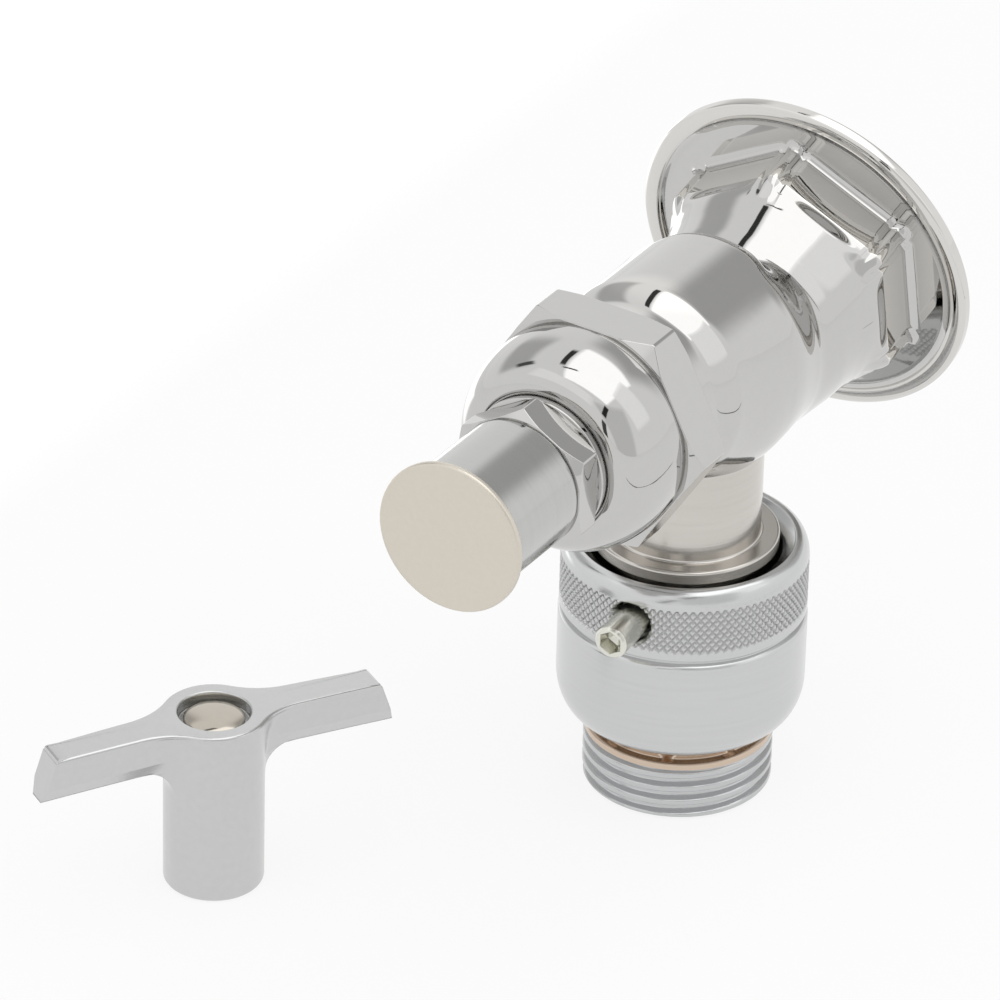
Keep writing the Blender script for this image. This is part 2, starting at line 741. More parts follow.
    def inner_rows(self, angles: Points) -> Points:
        """Rows of the hidden neck, the chamber, the seat bore, the pocket and the tapped inlet.

        The inlet's radius follows a helix: it depends on s / pitch + angle / 2 pi.
        """
        shoulder, front, back = self.valve_end_r, self.front_w, -self.chamber_back
        path = [(shoulder, front - 0.4), (shoulder - 0.1, front), (self.neck_r, front),
                (self.neck_r, self.neck_end_w), (self.chamber_r, self.neck_end_w), (self.chamber_r, back),
                (self.seat_bore_r, back - 0.2), (self.seat_bore_r, 2 * back)]
        inner = self.layout.valve.apply(turned(np.array([path]), angles))
        s = np.linspace(self.bore_len + 6.0, 0.9, 90)[:, None]
        phase = (s / self.pipe_pitch + angles[None] / (2 * math.pi)) % 1.0
        ridge = np.clip(1.6 - np.abs(phase - 0.5) * 4, 0, 1) * self.pipe_depth
        pocket = np.sqrt(np.maximum(self.pocket_r ** 2 - np.maximum(s - self.bore_len, 0) ** 2, 1.0))
        r = np.where(s > self.bore_len, pocket, self.bore_r + ridge)
        r = np.where(s < 1.6, self.bore_r + np.maximum(1.7 - s, 0), r)
        return np.concatenate([inner, self.layout.inlet.apply(polar(r, angles, s))])

    def spout_grid(self) -> Points:
        """The spout tube with its collar and its hose thread's plain core."""
        crest, core, collar = self.hose_r - 0.1, self.hose_r - self.hose_depth, self.collar_top
        corners = [(self.spout_bore_r, self.spout_end), (core, self.spout_end), (core, collar - 2.2),
                   (crest, collar - 1.9), (crest, collar), (self.spout_r, collar),
                   (self.spout_r, self.tube_top), (self.spout_bore_r, self.tube_top)]
        radii = [0.2, 0.3, 0.2, 0.2, 0.45, 0.4, 0.2, 0.2]
        return turned(fillet_path(np.array(corners), radii), round_angles(192))

    def build(self) -> None:
        """Builds the casting and the spout."""
        angles = hex_angles(HEX_TURN, 30, 8, self.boss_across, self.boss_round)
        rows = np.concatenate([self.boss_rows(angles), self.outer_rows(angles)[1:], self.inner_rows(angles)])
        body = self.finishes.piece("valve_casting", rows, upright(), "polished_chrome", "polished_chrome",
                                   "faucet_body")
        mark_places(body, rows, self.warm_share(rows))
        self.finishes.piece("spout_tube", self.spout_grid(), upright(), "spout_nickel", "warm_nickel",
                            "faucet_body")


def beveled_sides(hexagon: Points, flat_r: float, corner_r: float, z: tuple[float, float],
                  bevels: tuple[float, float], least: float = 0.12) -> Points:
    """Outline corners of a hexagon whose ends are turned to a cone.

    At each angle the side ends where it meets the cone: bevel x (side - flat) / (corner - flat) from
    the end face, and at least a small edge everywhere.

    Args:
        hexagon: distance of the hexagon from the axis at each angle.
        flat_r: radius where the cone meets the end face.
        corner_r: radius of the sharp corners.
        z: heights of the two end faces.
        bevels: heights of the cones at the corners, at the low and the high end.
        least: the smallest edge.

    Returns:
        Four corners for each angle, shape (T, 4, 2).
    """
    share = np.maximum(hexagon - flat_r, 0) / (corner_r - flat_r)
    low, high = np.maximum(bevels[0] * share, least), np.maximum(bevels[1] * share, least)
    inner = np.minimum(hexagon - least, flat_r)
    ones = np.ones_like(hexagon)
    return np.stack([np.stack([inner, ones * z[0]], -1), np.stack([hexagon, z[0] + low], -1),
                     np.stack([hexagon, z[1] - high], -1), np.stack([inner, ones * z[1]], -1)], axis=1)


@dataclass
class Bonnet:
    """The hexagonal bonnet with its domed nose."""

    layout: Layout
    finishes: Finishes
    across: float = 31.75
    turn: float = math.radians(-2.5)
    corner_round: float = 0.7
    back_w: float = 22.5
    front_w: float = 30.0
    bevel_r: float = 16.475
    groove_r: float = 15.45
    nose_r: float = 15.8
    dome_w: float = 31.6
    nose_w: float = 40.6
    open_r: float = 10.4
    lip: float = 0.35
    recess: float = 0.5
    neck_r: float = 7.5
    neck_end_w: float = 45.0
    bore_r: float = 5.0
    box_r: float = 5.9
    thread_bore_r: float = 12.45
    cone_r: float = 9.6
    cone_w: float = 30.5
    thread_w: float = 34.3

    def build(self) -> None:
        """Builds the bonnet: a beveled hexagon, a fine groove, an elliptic dome and the bores."""
        angles = hex_angles(self.turn, 30, 8, self.across, self.corner_round)
        hexagon = hex_radius(angles, self.turn, self.across, self.corner_round)
        n = len(angles)
        corner_r = self.across / 2 / math.cos(HEX_TURN)
        sides = beveled_sides(hexagon, self.bevel_r, corner_r, (self.back_w, self.front_w), (0.9, 1.4))
        top_r, floor_w = self.open_r + self.lip, self.nose_w - self.recess
        dome = arc_points(top_r, self.dome_w, self.nose_r - top_r, self.nose_w - self.dome_w, 0, 90, 30)
        front = [(self.groove_r, self.front_w), (self.groove_r, self.front_w + 0.3),
                 (self.nose_r, self.front_w + 0.55), *dome]
        inside = [(self.open_r, self.nose_w), (self.open_r, floor_w), (self.neck_r, floor_w),
                  (self.neck_r, self.neck_end_w), (self.box_r, self.neck_end_w), (self.box_r, self.nose_w),
                  (self.bore_r, self.nose_w), (self.bore_r, self.thread_w), (self.cone_r, self.cone_w),
                  (self.thread_bore_r, self.cone_w)]
        start = spread([(self.thread_bore_r, self.back_w)], n)
        path = np.concatenate([start, sides, spread(front + inside, n)], axis=1)
        radii = ([0.15, 0.2, 0.2, 0.25, 0.15, 0.08, 0.08, 0.2] + [0] * len(dome)
                 + [0.25, 0.3, 0.3, 0.3] + [0] * 6)
        self.finishes.piece("bonnet_shell", turned(fillet_path(path, radii, 5), angles), self.layout.valve,
                            "polished_chrome", "polished_chrome", "bonnet")


@dataclass
class PackingNut:
    """The hexagonal nut in the nose's opening, with its collar and front boss."""

    layout: Layout
    finishes: Finishes
    across: float = 19.0
    corner_round: float = 0.45
    bevel_r: float = 9.6
    collar_r: float = 10.15
    collar_w: float = 37.8
    hex_w: float = 42.2
    hex_end_w: float = 47.0
    boss_r: float = 7.4
    boss_end_w: float = 50.5
    bore_r: float = 7.56
    hole_r: float = 4.15
    box_end_w: float = 45.4

    def build(self) -> None:
        """Builds the nut round its bore."""
        angles = hex_angles(HEX_TURN, 24, 8, self.across, self.corner_round)
        hexagon = hex_radius(angles, HEX_TURN, self.across, self.corner_round)
        n = len(angles)
        corner_r = self.across / 2 / math.cos(HEX_TURN)
        ends = (self.hex_w, self.hex_end_w)
        sides = beveled_sides(hexagon, self.bevel_r, corner_r, ends, (0.4, 1.0), 0.08)
        start = [(self.bore_r, self.collar_w), (self.collar_r, self.collar_w),
                 (self.collar_r, self.hex_w - 0.35), (self.bevel_r - 0.35, self.hex_w - 0.25)]
        end = [(self.boss_r, self.hex_end_w), (self.boss_r, self.boss_end_w), (self.hole_r, self.boss_end_w),
               (self.hole_r, self.box_end_w), (self.bore_r, self.box_end_w)]
        path = np.concatenate([spread(start, n), sides, spread(end, n)], axis=1)
        radii = [0.1, 0.3, 0.2, 0.05, 0.1, 0.12, 0.15, 0.12, 0.1, 0.2, 0.1, 0.1, 0.1]
        self.finishes.piece("packing_hexagon", turned(fillet_path(path, radii, 5), angles), self.layout.valve,
                            "polished_chrome", "polished_chrome", "packing_nut")


@dataclass
class LockShield:
    """The tube round the stem's square end, with the cap that closes it."""

    layout: Layout
    finishes: Finishes
    outer_r: float = 9.4
    inner_r: float = 8.1
    seat_r: float = 7.45
    seat_len: float = 3.8
    cap_r: float = 10.83
    crown: float = 0.16
    plug_r: float = 8.05
    plug_in_r: float = 7.15
    axis_r: float = 0.05
    cap_gap: float = 0.05

    def build(self) -> None:
        """Builds the tube on the fixed valve and the cap on its own body."""
        back, front = self.layout.along("lock_shield")
        seat_end, angles = back + self.seat_len, round_angles(192)
        tube = [(self.seat_r, back), (self.outer_r, back), (self.outer_r, front), (self.inner_r, front),
                (self.inner_r, seat_end), (self.seat_r, seat_end)]
        grid = turned(fillet_path(np.array(tube), [0.15, 0.5, 0.25, 0.2, 0.3, 0.2]), angles)
        self.finishes.piece("shield_tube", grid, self.layout.valve, "shield_chrome", "satin_chrome",
                            "lock_shield")
        plug_end, face = self.layout.along("shield_cap")
        under = front + self.cap_gap
        disc = [(self.axis_r, face), (4.0, face - 0.02), (8.0, face - 0.08), (self.cap_r, face - self.crown),
                (self.cap_r, under), (self.plug_r, under), (self.plug_r, plug_end),
                (self.plug_in_r, plug_end), (self.plug_in_r, under), (self.axis_r, under)]
        path = fillet_path(np.array(disc), [0, 3.0, 3.0, 0.4, 0.3, 0.15, 0.2, 0.2, 0.3, 0], closed=False)
        self.finishes.piece("cap_disc", turned(path, angles), self.layout.valve, "cap_nickel", "warm_nickel",
                            "shield_cap", "cap", closed=False)


@dataclass
class VacuumBreaker:
    """The knurled shell, its set screw and the outlet nipple with the hose thread."""

    finishes: Finishes
    shell_z: float = 11.4
    shell_r: float = 17.6
    low_r: float = 14.0
    shoulder_h: float = 6.1
    knurl_low: float = 29.7
    knurl_high: float = 36.7
    knurl_r: float = 17.5
    knurl_count: int = 96
    knurl_pitch: float = 1.3
    knurl_depth: float = 0.34
    knurl_rows: int = 40
    inner_rows: int = 36
    groove_z: float = 28.0
    top_z: float = 39.3
    top_r: float = 15.8
    mouth_r: float = 15.5
    ledge_r: float = 13.7
    bore_r: float = 13.36
    hole_r: float = 12.26
    floor_t: float = 2.6
    screw_turn: float = math.radians(-86)
    screw_z: float = 33.4
    screw_r: float = 2.4
    screw_in: float = 13.4
    screw_out: float = 23.5
    pits: tuple[tuple[float, float, float], ...] = ((2.2, 2.7, 3.0), (0.5, 2.9, 3.5))
    socket_across: float = 3.0
    socket_round: float = 0.15
    socket_depth: float = 2.6
    hose_r: float = 13.5
    hose_depth: float = 0.95
    hose_pitch: float = 2.209
    thread_len: float = 9.3
    neck_r: float = 12.2
    nipple_top: float = 19.5
    ledge_z: float = 6.0
    low_bore_r: float = 8.8
    up_bore_r: float = 9.8
    vent_z: float = 10.35
    vent_count: int = 8
    vent_depth: float = 1.6
    brass_from: tuple[float, float] = (8.1, 8.5)

    def knurl(self, angles: Points, z: Points) -> Points:
        """Height of the diamond knurl, 0 in the cuts and 1 on the diamonds' flat tops.

        Two sets of cuts cross: each lies where N angle / 2 pi + z / pitch, or minus z / pitch, is whole.
        """
        around = self.knurl_count * angles[None] / (2 * math.pi)
        rise = (z / self.knurl_pitch)[:, None]
        side_a = 1 - np.abs(2 * ((around + rise) % 1.0) - 1)
        side_b = 1 - np.abs(2 * ((around - rise) % 1.0) - 1)
        return np.clip(np.minimum(side_a, side_b) * 1.7, 0, 1)

    def shell_outline(self) -> tuple[Points, Points, Points]:
        """The shell's outline below, at and above its knurled band, each as (radius, height)."""
        low_r, rise = self.low_r - 0.4, self.shoulder_h
        shoulder = arc_points(low_r, self.shell_z + rise, self.shell_r - low_r, rise, -84, 0, 20)
        groove = [(0.0, 27.45), (0.75, 27.95), (0.7, 28.3), (0.1, 28.6)]
        lower = [(self.hole_r, self.shell_z + 0.1), *shoulder, *((self.shell_r - d, z) for d, z in groove),
                 (self.knurl_r, self.knurl_low - 0.25)]
        lower_radii = [0] * (1 + len(shoulder)) + [0.8, 0.15, 0.15, 0.2, 0]
        band_z = np.linspace(self.knurl_low, self.knurl_high, self.knurl_rows)
        band = np.stack([np.full_like(band_z, self.knurl_r - 0.02), band_z], axis=-1)
        edge_r, floor = self.knurl_r - 0.05, self.shell_z + self.floor_t
        bevel = arc_points(self.top_r, self.knurl_high, edge_r - self.top_r, self.top_z - self.knurl_high,
                           8, 84, 16)
        upper = [(edge_r, self.knurl_high + 0.15), *bevel, (self.mouth_r, self.top_z),
                 (self.mouth_r - 0.15, self.top_z - 0.2), (self.ledge_r, self.top_z - 1.5),
                 (self.bore_r, self.top_z - 2.6), (self.bore_r, floor), (self.hole_r, floor)]
        upper_radii = [0] * (1 + len(bevel)) + [0.3, 0.2, 0.2, 0.3, 0.3, 0]
        return (fillet_path(np.array(lower), lower_radii, 8, closed=False)[0], band,
                fillet_path(np.array(upper), upper_radii, 6, closed=False)[0])

    def shell_grid(self) -> Points:
        """The shell's outline carried round the spout axis, with the knurl and the screw's hole.

        The hole is two pits round the screw, a deep one and a shallow bevel, in the outer rows only.
        Each has a depth, and the distances from the screw's middle where it starts to rise and ends.
        """
        angles = round_angles(self.knurl_count * 6)
        parts = self.shell_outline()
        r, z = np.concatenate(parts).T[:, :, None]
        radius = np.repeat(r, len(angles), axis=1)
        low, high, edge = self.knurl_low, self.knurl_high, 0.35
        band_z = parts[1][:, 1]
        fade = smooth_step(band_z, low, low + edge) * (1 - smooth_step(band_z, high - edge, high))
        first = len(parts[0])
        cut = self.knurl_depth * fade[:, None] * (1 - self.knurl(angles, band_z))
        radius[first:first + len(band_z)] -= cut
        across = (angles[None] - self.screw_turn + math.pi) % (2 * math.pi) - math.pi
        away = np.hypot(across * self.knurl_r, z - self.screw_z)
        outer = (np.arange(len(z)) < len(z) - self.inner_rows)[:, None] & (z > self.groove_z)
        for depth, near, far in self.pits:
            radius -= np.where(outer, depth * (1 - smooth_step(away, near, far)), 0)
        return polar(radius, angles, z)

    def cut_share(self, grid: Points) -> Points:
        """Where the knurl's cuts lie, from the depth under the knurled band."""
        r, z = np.hypot(grid[..., 0], grid[..., 1]), grid[..., 2]
        band = (z > self.knurl_low) & (z < self.knurl_high) & (r > self.knurl_r - 0.5)
        return np.where(band, smooth_step(self.knurl_r - r, 0.08, 0.3), 0.0) * 0.8

    def screw_grid(self) -> Points:
        """The set screw along its own axis, from its inner end to the bottom of its hexagon socket."""
        angles = hex_angles(0.0, 8, 2, self.socket_across, self.socket_round)
        socket = hex_radius(angles, 0.0, self.socket_across, self.socket_round)
        n, axis_r = len(angles), 0.05
        out, floor = self.screw_out, self.screw_out - self.socket_depth
        body = spread([(axis_r, self.screw_in), (self.screw_r - 1, self.screw_in),
                       (self.screw_r, self.screw_in + 1), (self.screw_r, out - 0.35),
                       (self.screw_r - 0.35, out)], n)
        mouth = [np.stack([socket + grow, np.full(n, z)], -1)
                 for grow, z in ((0.12, out), (0.0, out - 0.12), (0.0, floor))]
        end = spread([(axis_r, floor - 0.5)], n)
        path = np.concatenate([body, np.stack(mouth, axis=1), end], axis=1)
        radii = [0, 0.2, 0.2, 0.15, 0.1, 0.05, 0.05, 0.1, 0]
        return turned(fillet_path(path, radii, 4, closed=False), angles)

    def outlet_grid(self) -> Points:
        """The outlet nipple: its hose thread is a helix, crests where z / pitch - angle / 2 pi is a half."""
        angles = round_angles(288)
        length = self.thread_len
        z = np.concatenate([np.linspace(0.55, length, 84), np.linspace(length + 0.08, 11.2, 24)])[:, None]
        phase = (z / self.hose_pitch - angles[None] / (2 * math.pi)) % 1.0
        ridge = smooth_step(-np.abs(phase - 0.5), -0.40, -0.13)
        core = self.hose_r - self.hose_depth
        crest = self.hose_r - 0.02 - 0.35 * smooth_step(-z, -1.0, 0.0)
        radius = core + (crest - core) * np.maximum(ridge, smooth_step(z, length - 1.5, length - 0.9))
        drop = smooth_step(z, length - 0.12, length + 0.12)
        radius = radius * (1 - drop) + self.neck_r * drop
        step = 2 * math.pi / self.vent_count
        vent = np.hypot((angles[None] % step - step / 2) * self.neck_r, z - self.vent_z)
        radius -= self.vent_depth * (1 - smooth_step(vent, 0.6, 1.0))
        foot = [(self.low_bore_r, 0.5), (self.low_bore_r, 0.0), (core, 0.0), (core, 0.5)]
        top = [(self.neck_r, 11.3), (self.neck_r, self.nipple_top), (self.up_bore_r, self.nipple_top),
               (self.up_bore_r, self.ledge_z), (self.low_bore_r, self.ledge_z)]
        return np.concatenate([
            turned(fillet_path(np.array(foot), [0, 0.3, 0.35, 0], closed=False), angles),
            polar(radius, angles, z),
            turned(fillet_path(np.array(top), [0, 0.2, 0.2, 0.2, 0], closed=False), angles)])

    def build(self) -> None:
        """Builds the three visible pieces of the vacuum breaker."""
        grid = self.shell_grid()
        shell = self.finishes.piece("knurled_shell", grid, upright(), "satin_chrome", "satin_chrome",
                                    "breaker_shell")
        mark_places(shell, grid, self.cut_share(grid))
        self.finishes.piece("shell_set_screw", self.screw_grid(), radial(self.screw_turn, self.screw_z),
                            "zinc", "zinc", "breaker_set_screw", closed=False)
        grid = self.outlet_grid()
        outlet = self.finishes.piece("outlet_nipple", grid, upright(), "outlet_chrome", "satin_chrome",
                                     "breaker_outlet")
        mark_places(outlet, grid, smooth_step(grid[..., 2], *self.brass_from))


@dataclass
class TeeKey:
    """The loose tee key: its bar and hub in one casting, and the button in its top."""

    finishes: Finishes
    x: float = -40.0
    y: float = -59.3
    turn: float = math.radians(57.8)
    height: float = 26.9
    hub_r: float = 7.03
    boss_r: float = 7.4
    leave: float = math.radians(42)
    join_x: float = 12.0
    root_x: float = 6.4
    half: float = 24.4
    slope_out: float = 2.2
    tip_half_w: float = 2.4
    root_half_w: float = 3.0
    tip_round: float = 0.6
    steps: int = 151
    bar_h: float = 6.6
    side_h: float = 4.4
    drop: float = 0.6
    foot_share: float = 0.56
    edge: float = 0.45
    fillet: float = 4.5
    hub_top: float = 15.0
    hole_r: float = 5.1
    hole_h: float = 1.8
    flat_w: float = 1.2
    bore_r: float = 5.06
    button_r: float = 4.3
    button_edge: float = 0.7
    button_dome: float = 0.8
    axis_r: float = 0.3

    def outline(self) -> Points:
        """The key's top outline, once round.

        The half width is the boss's circle up to an angle, then a cubic that leaves along the circle's
        tangent and joins the side of the narrowing bar along its own.
        """
        t = np.linspace(-1, 1, self.steps)
        x = self.half * np.sin(t * math.pi / 2) * 0.25 + self.half * t * 0.75
        slope = (self.tip_half_w - self.root_half_w) / self.half
        bar = self.root_half_w + slope * np.abs(x)
        disc = np.sqrt(np.maximum(self.boss_r ** 2 - x * x, 0))
        x0, y0 = self.boss_r * math.sin(self.leave), self.boss_r * math.cos(self.leave)
        run = self.join_x - x0
        q = np.clip((np.abs(x) - x0) / run, 0, 1)
        rise = q ** 2 * (3 - 2 * q)
        curve = (y0 * (1 - rise) + (self.root_half_w + slope * self.join_x) * rise
                 - math.tan(self.leave) * run * q * (1 - q) ** 2 - slope * run * q * q * (1 - q))
        half_w = np.where(np.abs(x) < x0, disc, np.where(np.abs(x) < self.join_x, curve, bar))
        top = np.stack([x, half_w], -1)[::-1]
        radii = ([self.tip_round] + [0] * (self.steps - 2) + [self.tip_round]) * 2
        return fillet_path(np.concatenate([top, -top]), radii, 5, lead=0.1)[0]

    def build(self) -> None:
        """Builds the key's casting and its button."""
        c, s = math.cos(self.turn), math.sin(self.turn)
        place = Placement((self.x, self.y, 0.0), ((c, s, 0), (-s, c, 0), (0, 0, 1)))
        self.finishes.piece("tee_handle", self.handle_grid(), place, "key_chrome", "key_chrome", "key_handle",
                            "tee_key", closed=False)
        floor = self.height - self.hole_h
        edge_z = floor + self.button_edge
        dome = arc_points(0, edge_z, self.button_r, self.button_dome, 6, 89, 16)
        path = [(0.05, floor), (self.button_r, floor), (self.button_r, edge_z), *dome]
        radii = [0, 0.2, 0.2] + [0] * len(dome)
        grid = turned(fillet_path(np.array(path), radii, closed=False), round_angles(128))
        self.finishes.piece("key_plug", grid, place, "button_nickel", "warm_nickel", "key_button", "tee_key",
                            closed=False)

    def handle_grid(self) -> Points:
        """The key from the middle of its recess, over the top, down the sides, under the bar to its bore.

        Columns go once round the top outline. Every row keeps a column's direction from the hub's axis,
        so the same columns serve the round recess, the bar and the round hub.
        """
        ring = self.outline()
        ring = ring[np.linalg.norm(np.diff(ring, axis=0, append=ring[:1]), axis=1) > 1e-4]
        unit = ring / np.linalg.norm(ring, axis=1, keepdims=True)
        top_z = self.height - self.drop * (np.abs(ring[:, 0]) / self.half) ** 1.6
        bar = smooth_step(np.abs(ring[:, 0]), self.root_x, self.join_x)
        sides = self.side_rows(ring, top_z, bar)
        low = sides[-1]
        floor, lip_r = self.height - self.hole_h, self.hole_r + self.flat_w
        recess = [(self.axis_r, floor), (self.hole_r, floor), (self.hole_r, self.height),
                  (lip_r, self.height)]
        hub = [(self.hub_r, self.hub_top), (self.hub_r, 0.0), (self.bore_r, 0.0),
               (self.bore_r, self.hub_top), (self.axis_r, self.hub_top)]
        rows = self.circles(unit, fillet_path(np.array(recess), [0, 0.25, 0.25, 0], closed=False)[0])
        rows += self.top_rows(ring, unit * lip_r, top_z) + sides + self.under_rows(unit, low, bar)
        rows += self.circles(unit, fillet_path(np.array(hub), [0, 1.0, 0.5, 0.3, 0], 8, closed=False)[0])
        return np.stack(rows)

    @staticmethod
    def circles(unit: Points, path: Points) -> list[Points]:
        """One round row for each (radius, height) of a path: the columns' directions times the radius."""
        return [np.concatenate([unit * r, np.full((len(unit), 1), z)], axis=1) for r, z in path]

    def top_rows(self, ring: Points, start: Points, top_z: Points) -> list[Points]:
        """The flat top, from the recess's lip to the outline, and the quarter round of its edge.

        Args:
            ring: the top outline.
            start: the lip's points.
            top_z: height of the top at each column.

        Returns:
            The rows.
        """
        tangent = np.roll(ring, -1, 0) - np.roll(ring, 1, 0)
        tangent /= np.linalg.norm(tangent, axis=1, keepdims=True)
        normal = np.stack([tangent[:, 1], -tangent[:, 0]], -1)
        normal *= np.sign((normal * ring).sum(1, keepdims=True) + 1e-9)
        edge_in = ring - normal * self.edge
        rows = []
        for share in np.linspace(0, 1, 14)[1:]:
            z = self.height - (self.height - top_z) * share
            rows.append(np.column_stack([start * (1 - share) + edge_in * share, z]))
        for a in np.linspace(0, math.pi / 2, 7)[1:]:
            flat = ring - normal * self.edge * (1 - math.sin(a))
            rows.append(np.column_stack([flat, top_z - self.edge * (1 - math.cos(a))]))
        return rows

    def side_rows(self, ring: Points, top_z: Points, bar: Points) -> list[Points]:
        """Rows of the side wall, down to the bar's lower edge.

        The ends slope out with depth, the lower part of the bar narrows to its foot, and the boss leans in.

        Args:
            ring: the top outline.
            top_z: height of the top at each column.
            bar: how far each column belongs to the bar, 0 at the boss.

        Returns:
            The rows.
        """
        along = np.clip((np.abs(ring[:, 0]) - self.join_x) / (self.half - self.join_x), 0, 1)
        out = self.slope_out * along * np.sign(ring[:, 0])
        foot = 1 - (1 - self.foot_share) * bar
        radius = np.linalg.norm(ring, axis=1)
        lean = (1 - bar) * np.maximum(radius - (self.hub_r + 0.02), 0) / radius
        depths = [self.edge + 0.05, *np.linspace(0.8, self.side_h - 0.15, 8), self.side_h, self.side_h + 0.15,
                  *np.linspace(self.side_h + 0.4, self.bar_h - 0.3, 5), self.bar_h]
        rows = []
        for depth in depths:
            share = depth / self.bar_h
            taper = max(depth - self.side_h, 0) / (self.bar_h - self.side_h)
            shrink = 1 - lean * math.sin(share * math.pi / 2)
            x = ring[:, 0] * shrink + out * share
            y = ring[:, 1] * shrink * (1 - taper * (1 - foot))
            rows.append(np.stack([x, y, top_z - depth], -1))
        return rows

    def under_rows(self, unit: Points, low: Points, bar: Points) -> list[Points]:
        """Rows under the bar and round the hollow corner to the hub.

        Args:
            unit: the columns' directions.
            low: the lowest row of the side wall.
            bar: how far each column belongs to the bar, 0 at the boss.

        Returns:
            The rows.
        """
        low_r = np.linalg.norm(low[:, :2], axis=1)
        low_unit = low[:, :2] / low_r[:, None]
        arm = np.minimum(low_r - self.hub_r, self.fillet)
        base_z = low[:, 2] * (1 - bar) + (self.height - self.bar_h) * bar
        spare = 0.8 * (1 - bar)
        rows = []
        for share in np.linspace(0, 1, 8)[1:]:
            r = low_r + (self.hub_r + arm - low_r) * share
            z = low[:, 2] + (base_z - low[:, 2]) * share - spare * share
            rows.append(np.column_stack([low_unit * r[:, None], z]))
        fall = 4.0 + 0.5 * bar
        for t in np.linspace(0, 1, 13)[1:]:
            q = t * math.pi / 2
            r = self.hub_r + arm * ((1 - bar) * (1 - t) ** 2 + bar * (1 - math.sin(q)))
            z = base_z - spare - fall * ((1 - bar) * t + bar * (1 - math.cos(q)))
            way = unit * t + low_unit * (1 - t)
            way /= np.linalg.norm(way, axis=1, keepdims=True)
            rows.append(np.column_stack([way * r[:, None], z]))
        return rows


@dataclass
class InnerParts:
    """The carried-over CAD pieces, each given the finish of its material slot."""

    finishes: Finishes

    def build(self) -> None:
        """Dresses every CAD node that no scene piece stands for."""
        slots = {part["node"]: part["material_slot"] for part in frame["record"]["subparts"]}
        for node, obj in frame["nodes"].items():
            self.finishes.dress(obj, slots[node])
            LOG.info("%s has the finish %s", node, slots[node])


def seen_directly(tree: Tree) -> bpy.types.NodeSocket:
    """A socket that is 1 for rays from the camera, off metal or through glass, and 0 for other light."""
    path = tree.add("LightPath")
    total = path.outputs["Is Camera Ray"]
    for kind in ("Is Glossy Ray", "Is Transmission Ray"):
        add = tree.add("Math", {0: total, 1: path.outputs[kind]}, operation="ADD", use_clamp=True)
        total = add.outputs[0]
    return total


def facing(azimuth: float, elevation: float, turn: float = 0.0) -> tuple[Points, Points, Points]:
    """Directions of something that stands round the faucet and looks at it, from angles in degrees.

    Args:
        azimuth: how far it stands round from the front.
        elevation: how high it stands.
        turn: its own turn.

    Returns:
        The directions from the faucet to it, to its right and to its top.
    """
    a, e, t = (math.radians(v) for v in (azimuth, elevation, turn))
    away = np.array([math.sin(a) * math.cos(e), -math.cos(a) * math.cos(e), math.sin(e)])
    right = np.array([math.cos(a), math.sin(a), 0.0])
    up = np.cross(away, right)
    return away, right * math.cos(t) - up * math.sin(t), up * math.cos(t) + right * math.sin(t)


@dataclass(frozen=True)
class StudioCard:
    """A flat card that lights the faucet and shows in its metal: a soft box, or a flag where it is dark.

    It stands in a direction from the faucet's middle, at a distance in metres, and faces it.
    """

    name: str
    azimuth: float
    elevation: float
    distance: float
    width: float
    height: float
    glow: float
    soft: float
    turn: float = 0.0
    shift: tuple[float, float] = (0.0, 0.0)
    middle: float = 0.07
    steps: int = 16

    def build(self) -> None:
        """Makes the card as a grid whose cover falls to nothing toward its edges.

        With u and v from -1 to 1, the cover is the product of smooth steps of 1 - |u| and 1 - |v|.
        """
        away, right, up = facing(self.azimuth, self.elevation)
        centre = away * self.distance + right * self.shift[0] + up * self.shift[1]
        centre[2] += self.middle
        across, along = facing(self.azimuth, self.elevation, self.turn)[1:]
        line = np.linspace(-1, 1, self.steps + 1)
        u, v = np.meshgrid(line, line)
        points = centre + u[..., None] * across * self.width / 2 + v[..., None] * along * self.height / 2
        cover = smooth_step(1 - np.abs(u), 0.0, self.soft) * smooth_step(1 - np.abs(v), 0.0, self.soft)
        n = self.steps + 1
        i, j = np.meshgrid(np.arange(self.steps), np.arange(self.steps), indexing="ij")
        first = (i * n + j).ravel()
        faces = np.stack([first, first + n, first + n + 1, first + 1], axis=-1)
        mesh = bpy.data.meshes.new(self.name)
        mesh.from_pydata(points.reshape(-1, 3).tolist(), [], faces.tolist())
        mesh.attributes.new("cover", "FLOAT", "POINT").data.foreach_set("value", cover.ravel())
        mesh.materials.append(self.material())
        obj = add_object(self.name, mesh)
        obj.visible_camera = False
        obj.visible_shadow = False

    def material(self) -> bpy.types.Material:
        """Makes a plain glow that thins out where the cover does."""
        mat = bpy.data.materials.new(self.name)
        tree = Tree(mat)
        tree.nodes.remove(tree.nodes["Principled BSDF"])
        cover = tree.add("Attribute", attribute_name="cover")
        glow = tree.add("Emission", {"Strength": self.glow})
        tree.mix_shader(cover.outputs["Fac"], tree.add("BsdfTransparent"), glow, "Material Output")
        return mat


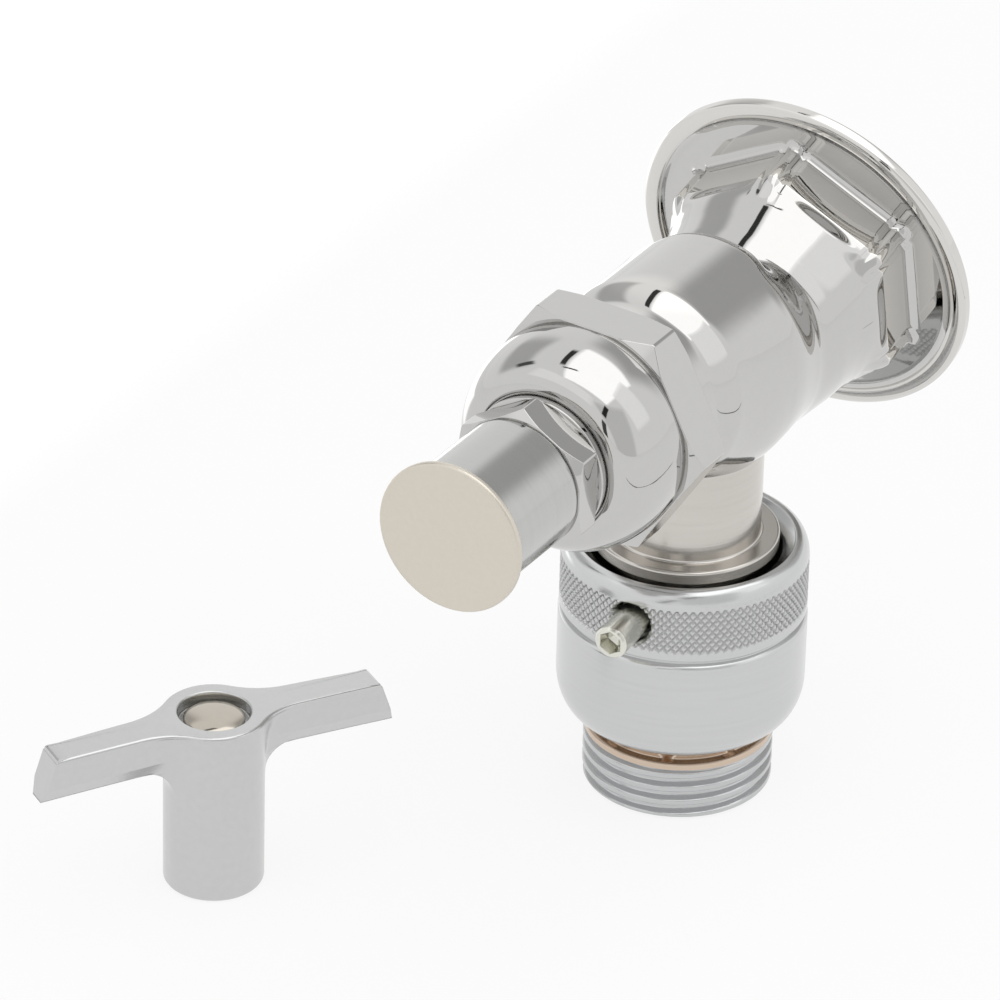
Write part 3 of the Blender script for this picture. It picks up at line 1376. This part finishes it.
@dataclass
class Studio:
    """Pale floor, soft boxes, flags, world and camera."""

    azimuth: float = 30.44444829705539
    elevation: float = 29.960972057824417
    roll: float = 1.4918194693687241
    focal_px: float = 7485.475754078625
    distance: float = 1032.0566946725546
    shift_x: float = 26.679803712060128
    shift_y: float = 21.8708642635896
    aim_height: float = 69.7
    image_px: float = 1000.0
    sensor: float = 36.0
    floor_share: float = 0.85
    floor_half: float = 3.0
    paper: tuple[float, float, float, float] = (0.9, 0.9, 0.9, 1.0)
    dim_light: tuple[float, float, float, float] = (0.7, 0.7, 0.7, 1.0)

    def camera(self) -> None:
        """Puts the camera where the photograph's perspective says, with a long lens."""
        back, right, up = facing(self.azimuth, self.elevation, -self.roll)
        place = -self.shift_x * right - self.shift_y * up + self.distance * back
        place[2] += self.aim_height
        data = bpy.data.cameras.new("studio_camera")
        data.sensor_width = self.sensor
        data.lens = self.focal_px / self.image_px * self.sensor
        data.clip_start, data.clip_end = 0.01, 20.0
        cam = add_object("studio_camera", data)
        cam.matrix_world = Matrix([*np.stack([right, up, back, place * MM], axis=-1).tolist(), (0, 0, 0, 1)])
        bpy.context.scene.camera = cam

    def build(self) -> None:
        """Builds the floor, the cards, the world and the camera."""
        self.floor()
        self.world()
        for card in self.cards():
            card.build()
        self.camera()

    def cards(self) -> list[StudioCard]:
        """The soft boxes over, before and beside the faucet, and the darker flags between them."""
        return [
            StudioCard("overhead_box", 0, 90, 1.0, 1.06, 1.3, 1.75, 0.05, shift=(0.25, 0.0)),
            StudioCard("overhead_gap", 0, 90, 0.98, 0.11, 0.62, 0.05, 0.30, shift=(-0.33, 0.17)),
            StudioCard("overhead_bar", 0, 90, 0.97, 0.30, 0.055, 0.10, 0.40, turn=-14.0,
                       shift=(-0.18, -0.14)),
            StudioCard("front_box", -18, 44, 1.05, 1.2, 0.5, 1.15, 0.20),
            StudioCard("side_box", 102, 38, 1.1, 0.55, 0.85, 1.2, 0.20),
            StudioCard("left_flag", -103, 30, 1.2, 1.4, 0.80, 0.58, 0.50),
            StudioCard("left_mark", -79, 38, 1.1, 0.20, 0.40, 0.10, 0.50),
            StudioCard("back_flag", 168, 32, 1.3, 1.4, 1.4, 0.52, 0.60),
            StudioCard("right_wall", 52, 18, 1.35, 1.35, 1.5, 0.76, 0.20),
            StudioCard("stand_head", 37, 35, 1.15, 0.12, 0.50, 0.03, 0.25, turn=42.0),
            StudioCard("stand_foot", 14, 5, 1.2, 0.12, 0.75, 0.08, 0.25, turn=33.0),
            StudioCard("floor_glow", 0, -90, 0.0694, 0.30, 0.33, 1.75, 0.30, shift=(-0.27, -0.135)),
            StudioCard("paper_edge", 0, -90, 0.0690, 0.004, 0.26, 0.20, 0.10, shift=(0.125, 0.04)),
        ]

    def floor(self) -> None:
        """A wide pale floor that looks white and keeps the faucet's soft shadow."""
        w = self.floor_half
        mesh = bpy.data.meshes.new("studio_floor")
        mesh.from_pydata([(-w, -w, 0), (w, -w, 0), (w, w, 0), (-w, w, 0)], [], [(0, 1, 2, 3)])
        obj = add_object("studio_floor", mesh)
        mat = bpy.data.materials.new("PaleFloor")
        tree = Tree(mat)
        paper = tree.put(tree.nodes["Principled BSDF"], {"Base Color": self.paper, "Roughness": 0.9,
                                                         "Specular IOR Level": 0.0})
        share = tree.add("Math", {0: seen_directly(tree), 1: self.floor_share}, operation="MULTIPLY")
        tree.mix_shader(share.outputs[0], paper, tree.add("Emission"), "Material Output")
        mesh.materials.append(mat)

    def world(self) -> None:
        """A world that is white where it is seen and in the metal, and pale grey as light."""
        world = bpy.data.worlds.new("studio_world")
        bpy.context.scene.world = world
        tree = Tree(world)
        white = tree.put(tree.nodes["Background"], {"Color": (1, 1, 1, 1), "Strength": 1.0})
        dim = tree.add("Background", {"Color": self.dim_light})
        tree.mix_shader(seen_directly(tree), dim, white, "World Output")


def main() -> None:
    """Builds the faucet, the studio and the camera."""
    logging.basicConfig(level=logging.INFO, format="%(name)s: %(message)s")
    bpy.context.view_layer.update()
    bpy.context.scene.view_settings.view_transform = "Standard"
    layout = Layout()
    finishes = Finishes()
    InnerParts(finishes).build()
    Casting(layout, finishes).build()
    Bonnet(layout, finishes).build()
    PackingNut(layout, finishes).build()
    LockShield(layout, finishes).build()
    VacuumBreaker(finishes).build()
    TeeKey(finishes).build()
    Studio().build()


if __name__ == "__main__":
    main()
